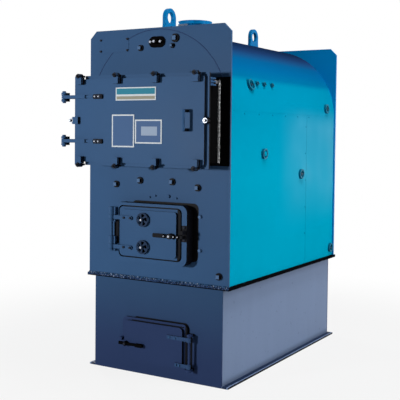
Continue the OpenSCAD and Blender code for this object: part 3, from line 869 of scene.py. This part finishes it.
def fire_door_fasteners():
    """Strap bolts, the spinners' nuts and shade discs, and the latch's nut, rivets and keeper bolts."""
    strap_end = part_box("fire_door_straps")[1].x
    bolts = [facing_front(strap_end - back, FIRE_STRAP_FACE, z)
             for z in strap_heights("fire_door_straps", 0.012) for back in (0.053, 0.011)]
    fasteners("fire_strap_bolts", bolts, "iron", "fire_door", radius=0.0075, height=0.007)

    for name, body in (("draft_spinner_lower", "spinner_lower"), ("draft_spinner_upper", "spinner_upper")):
        low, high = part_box(name)
        centre = (low + high) / 2.0
        nut = [facing_front(centre.x, low.y, centre.z)]
        fasteners(name + "_nut", nut, "bright", body, radius=0.0075, height=0.006)
        # A black disc behind each spinner's windows: painted shade.
        port = [facing_front(centre.x, FIRE_FACE, centre.z)]
        fasteners(name + "_port", port, "black", "fire_door", radius=0.032, height=0.0015, sides=40)

    latch = "fire_latch"
    low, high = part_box("fire_door_latch")
    middle = (low.z + high.z) / 2.0
    nut = [facing_front(low.x + 0.106, low.y, middle)]
    fasteners("fire_latch_nut", nut, "bright", latch, radius=0.008, height=0.008)
    rivets = [facing_front(low.x + along, low.y + 0.002, middle) for along in (0.075, 0.136, 0.161)]
    washer = 0.003
    fasteners("fire_latch_washers", rivets, "black", latch, radius=0.0115, height=washer, sides=16)
    fasteners("fire_latch_rivets", raised(rivets, washer), "bright", latch, radius=0.0042, height=0.006)
    keeper = [facing_front(FIRE_FRAME_HIGH.x - 0.014, FIRE_RIM_FACE, FIRE_FRAME_LOW.z + up)
              for up in (0.208, 0.142)]
    fasteners("fire_keeper_bolts", keeper, "iron", "boiler", radius=0.008, height=0.008)


def ash_door_fasteners():
    """Strap bolts, which sit closer to the hinge on the lower strap, and the latch's nut."""
    strap_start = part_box("ash_door_straps")[0].x
    rows = ((0.062, 0.082), (0.017, 0.052))
    bolts = [facing_front(strap_start + along, ASH_STRAP_FACE, z)
             for z, row in zip(strap_heights("ash_door_straps", 0.012), rows) for along in row]
    fasteners("ash_strap_bolts", bolts, "slate", "ash_door", radius=0.0065, height=0.006)
    low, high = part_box("ash_door_latch")
    nut = [facing_front(low.x + 0.043, low.y, (low.z + high.z) / 2.0)]
    fasteners("ash_latch_nut", nut, "iron", "ash_latch", radius=0.009, height=0.007)


def front_fasteners():
    """Screws of the data plate, studs over the fire door, bolts beside it, and the handhole's nuts."""
    margin = 0.008
    low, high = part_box("data_plate")
    screws = [facing_front(x, low.y, z)
              for x in (low.x + margin, high.x - margin) for z in (low.z + margin, high.z - margin)]
    fasteners("data_plate_screws", screws, "iron", "boiler", radius=0.0065, height=0.008, sides=12)

    top = FIRE_FRAME_HIGH.z
    studs = [facing_front(x, SHEET_FACE, top + up)
             for x, up in ((-0.041, 0.031), (-0.004, 0.041), (0.132, 0.033))]
    fasteners("front_studs", studs, "slate", "boiler", radius=0.006, height=0.008, sides=12)
    stud = [facing_front(0.083, SHEET_FACE, top + 0.041)]
    fasteners("front_stud_large", stud, "slate", "boiler", radius=0.011, height=0.010)
    bolts = [facing_front(FIRE_FRAME_HIGH.x + 0.047, SHEET_FACE, top - down) for down in (0.058, 0.237)]
    # Pale as a painted highlight.
    fasteners("frame_bolts", bolts, "worn", "boiler", radius=0.011, height=0.012)

    low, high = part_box("handhole_cover")
    middle = (low.z + high.z) / 2.0
    nuts = [facing_front(0.0, low.y, middle)]
    nuts += [facing_front(x, low.y + 0.014, middle) for x in (-0.032, 0.032)]
    fasteners("handhole_nuts", nuts, "bright", "boiler", radius=0.008, height=0.006)


def front_welds():
    """Beads along the front sheet's foot and round the tube sheet's arch."""
    foot_x = SHEET_X - 0.0005
    foot = [Vector((side * foot_x, SHEET_FACE - 0.001, RING_HIGH.z + 0.001)) for side in (-1, 1)]
    welds("front_foot_weld", [foot], "weld", radius=0.006)
    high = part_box("front_tube_sheet")[1]
    arch_r = high.x
    arch = []
    for degrees in range(0, 181, 3):
        angle = math.radians(degrees)
        z = high.z - arch_r + arch_r * math.sin(angle)
        arch.append(Vector((arch_r * math.cos(angle), SHEET_FACE + 0.001, z)))
    welds("arch_weld", [arch], "slate_base", radius=0.0028)


def crown_welds():
    """Beads on the crown, along both sides of each lug and round the supply nozzle."""
    half_lug = 0.078
    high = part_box("lifting_lugs")[1]
    paths = []
    for lug_y in (SHEET_FACE + 0.117, high.y - 0.080):
        for side in (-1, 1):
            x = side * (high.x + 0.001)
            paths.append([Vector((x, lug_y + way * half_lug, CROWN_HIGH.z)) for way in (-1, 1)])
    low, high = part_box("supply_nozzle")
    radius = (high.x - low.x) / 2.0
    seat = []
    for degrees in range(0, 361, 15):
        angle = math.radians(degrees)
        x = radius * math.cos(angle)
        y = (low.y + high.y) / 2.0 + radius * math.sin(angle)
        seat.append(Vector((x, y, CROWN_LOW.z + math.sqrt(CROWN_R ** 2 - x ** 2))))
    paths.append(seat)
    welds("crown_welds", paths, "end_sheet", radius=0.005)


def smokebox_bracket():
    """A small bracket with three ribs on a plate, and its bolt, on the right side of the smokebox."""
    foot = BOX_HIGH.z - 0.032
    front = SHEET_FACE - 0.155
    back = SHEET_FACE - 0.070
    ribs = 3
    rib_pitch = 0.017
    rib_height = 0.008
    rib_out = 0.018
    plate_out = 0.003
    form = bmesh.new()

    def bar(z, height, out):
        made = bmesh.ops.create_cube(form, size=1.0)["verts"]
        bmesh.ops.scale(form, vec=(out, back - front, height), verts=made)
        centre = Vector((BOX_HIGH.x + out / 2.0, (front + back) / 2.0, z + height / 2.0))
        bmesh.ops.translate(form, vec=centre, verts=made)

    for rib in range(ribs):
        bar(foot + rib_pitch * rib, rib_height, rib_out)
    bar(foot, rib_pitch * (ribs - 1) + rib_height, plate_out)
    bmesh.ops.bevel(form, geom=form.edges[:], offset=0.0012, segments=2, affect="EDGES")
    mesh = bpy.data.meshes.new("smokebox_bracket")
    form.to_mesh(mesh)
    form.free()
    mesh.materials.append(MATERIALS["slate"])
    add_piece("smokebox_bracket", mesh, "boiler")
    bolt = [(Vector((BOX_HIGH.x, SHEET_FACE - 0.048, BOX_HIGH.z - 0.011)), RIGHT)]
    fasteners("smokebox_bracket_bolt", bolt, "bright", "boiler", radius=0.011, height=0.009, sides=12)


def pale_floor():
    """A floor that keeps the boiler's shadow and fades into the white surround."""
    reach = 30.0
    level = -0.001
    signs = ((-1, -1), (1, -1), (1, 1), (-1, 1))
    corners = [(x * reach, y * reach, level) for x, y in signs]
    mesh = bpy.data.meshes.new("floor")
    mesh.from_pydata(corners, [], [(0, 1, 2, 3)])
    floor = bpy.data.objects.new("floor", mesh)
    scene.collection.objects.link(floor)
    finish = Finish("pale_floor")
    finish.set(Base_Color=grey(0.35), Roughness=0.9)
    glow = finish.node("ShaderNodeEmission", None, {"Color": WHITE})
    away = finish.node("ShaderNodeVectorMath", {"operation": "LENGTH"}, {0: finish.place}, "Value")
    white = 0.86 + 0.14 * finish.band(away, 1.2, 3.2)
    finish.show("Material Output", finish.seen() * white, Value(finish, finish.skin.outputs[0]), glow)
    mesh.materials.append(finish.material)


def white_surround():
    """White to the camera and in reflections, and a faint cool light on the boiler."""
    scene.world = bpy.data.worlds.new("surround")
    scene.world.use_nodes = True
    surround = ShaderTree(scene.world.node_tree)
    faint = surround.tree.nodes["Background"]
    surround.feed(faint.inputs["Color"], (0.93, 0.96, 1.0, 1.0))
    surround.feed(faint.inputs["Strength"], 0.07)
    white = surround.node("ShaderNodeBackground", None, {"Color": WHITE})
    surround.show("World Output", surround.seen(), Value(surround, faint.outputs[0]), white)


# A hard key from the front left and softer lamps round it: place, aim, side in metres, and watts.
LAMPS = {
    "key": ((-2.1, -5.4, 1.42), (0.0, SHEET_FACE, 1.0), 0.30, 204.0),
    "right": ((4.6, 0.15, 1.5), (0.45, 0.1, 1.1), 1.5, 108.0),
    "top": ((1.8, -0.6, 4.4), (0.2, 0.5, 1.8), 1.2, 90.0),
    "left_rear": ((-4.4, 2.6, 2.2), (-0.4, 0.3, 1.1), 1.8, 150.0),
    "rear": ((0.8, 6.0, 1.1), (0.0, 0.9, 1.0), 1.5, 90.0),
}


def lamp(name, at, aim, size, watts):
    """A square area lamp."""
    data = bpy.data.lights.new(name, "AREA")
    data.size = size
    data.energy = watts
    lamp_object = bpy.data.objects.new(name, data)
    lamp_object.location = at
    lamp_object.rotation_mode = "QUATERNION"
    lamp_object.rotation_quaternion = (Vector(aim) - Vector(at)).to_track_quat("-Z", "Y")
    scene.collection.objects.link(lamp_object)


def photo_camera():
    """The camera that took the photograph, from its focal length, place and turn."""
    level_ahead = Vector((-math.sin(CAMERA_YAW), math.cos(CAMERA_YAW), 0.0))
    level_right = Vector((math.cos(CAMERA_YAW), math.sin(CAMERA_YAW), 0.0))
    look = level_ahead * math.cos(CAMERA_PITCH) - UP * math.sin(CAMERA_PITCH)
    lift = UP * math.cos(CAMERA_PITCH) + level_ahead * math.sin(CAMERA_PITCH)
    across = level_right * math.cos(CAMERA_ROLL) + lift * math.sin(CAMERA_ROLL)
    top = lift * math.cos(CAMERA_ROLL) - level_right * math.sin(CAMERA_ROLL)
    data = bpy.data.cameras.new("photo_camera")
    data.sensor_width = SENSOR_MM
    data.lens = FOCAL_LENGTH * SENSOR_MM / PHOTO_SIDE
    data.shift_y = (LENS_AXIS_ROW - PHOTO_SIDE / 2.0) / PHOTO_SIDE
    camera = bpy.data.objects.new("photo_camera", data)
    turn = Matrix((across, top, -look)).transposed().to_4x4()
    camera.matrix_world = Matrix.Translation(CAMERA_AT) @ turn
    scene.collection.objects.link(camera)
    scene.camera = camera


photo_camera()
pale_floor()
white_surround()
for lamp_name, settings in LAMPS.items():
    lamp(lamp_name, *settings)
dress_nodes()
jacket_screws()
tapping_plugs()
smokebox_door_fasteners()
fire_door_fasteners()
ash_door_fasteners()
front_fasteners()
front_welds()
crown_welds()
smokebox_bracket()
